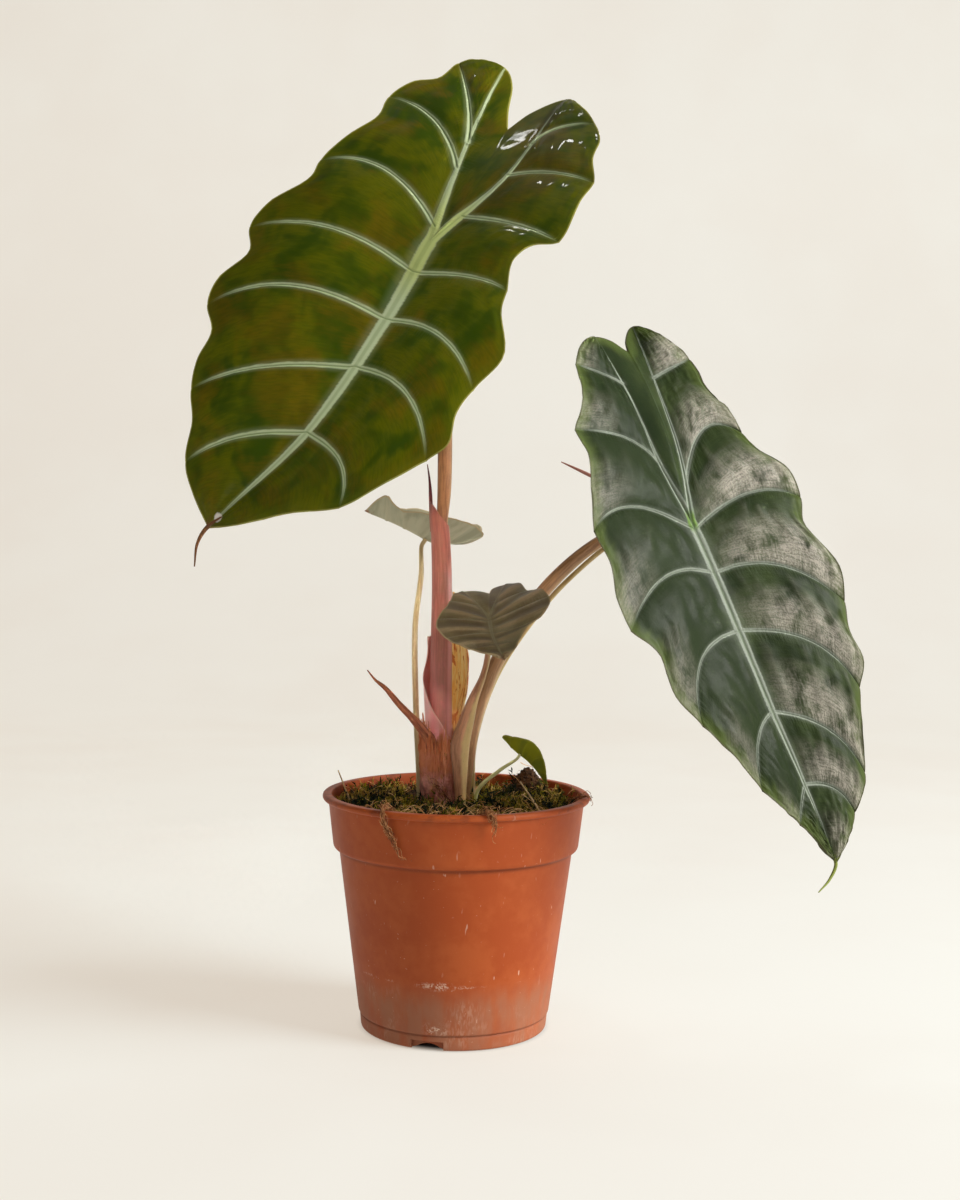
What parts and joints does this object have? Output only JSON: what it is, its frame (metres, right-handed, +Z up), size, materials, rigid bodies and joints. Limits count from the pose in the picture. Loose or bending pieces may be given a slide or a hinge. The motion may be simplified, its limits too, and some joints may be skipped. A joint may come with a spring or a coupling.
{
  "type": "potted alocasia chantrieri",
  "caption": "Potted foliage plant: glossy arrow-shaped leaves with wavy edges and pale veins on bare stems, standing in mossy peat in a terracotta-coloured nursery pot.",
  "frame": {"origin": "middle of the pot's flat base, on the surface the pot stands on", "axes": "+Z up along the pot's axis; -Y faces the picture's viewer; +X is the viewer's right, the side of the arching leaf"},
  "size_m": [0.2996, 0.1511, 0.4479],
  "materials": {
    "pot_plastic": "satin",
    "moist_peat": "matte",
    "fibrous_root": "matte",
    "pink_sheath": "satin",
    "papery_sheath": "matte",
    "withered_sheath": "matte",
    "dry_straw": "matte",
    "olive_blade": "gloss",
    "dark_blade": "gloss",
    "grey_blade": "matte",
    "brown_blade": "matte",
    "young_blade": "satin",
    "brown_petiole": "satin",
    "pale_petiole": "satin"
  },
  "bodies": {
    "root": {"pot": "pot_plastic", "soil": "moist_peat", "rootstock": "fibrous_root", "root_strand": "fibrous_root", "sheath_inner": "pink_sheath", "sheath_outer": "pink_sheath", "cataphyll_dry": "papery_sheath", "spike_withered": "withered_sheath", "straw_left": "dry_straw", "straw_right": "dry_straw", "blade_tall": "olive_blade", "blade_arching": "dark_blade", "blade_back": "grey_blade", "blade_front": "brown_blade", "blade_rear": "grey_blade", "blade_seedling": "young_blade", "petiole_tall": "brown_petiole", "petiole_arching": "brown_petiole", "petiole_front": "brown_petiole", "petiole_back": "pale_petiole", "petiole_rear": "pale_petiole", "petiole_seedling": "pale_petiole"}
  },
  "joints": []
}
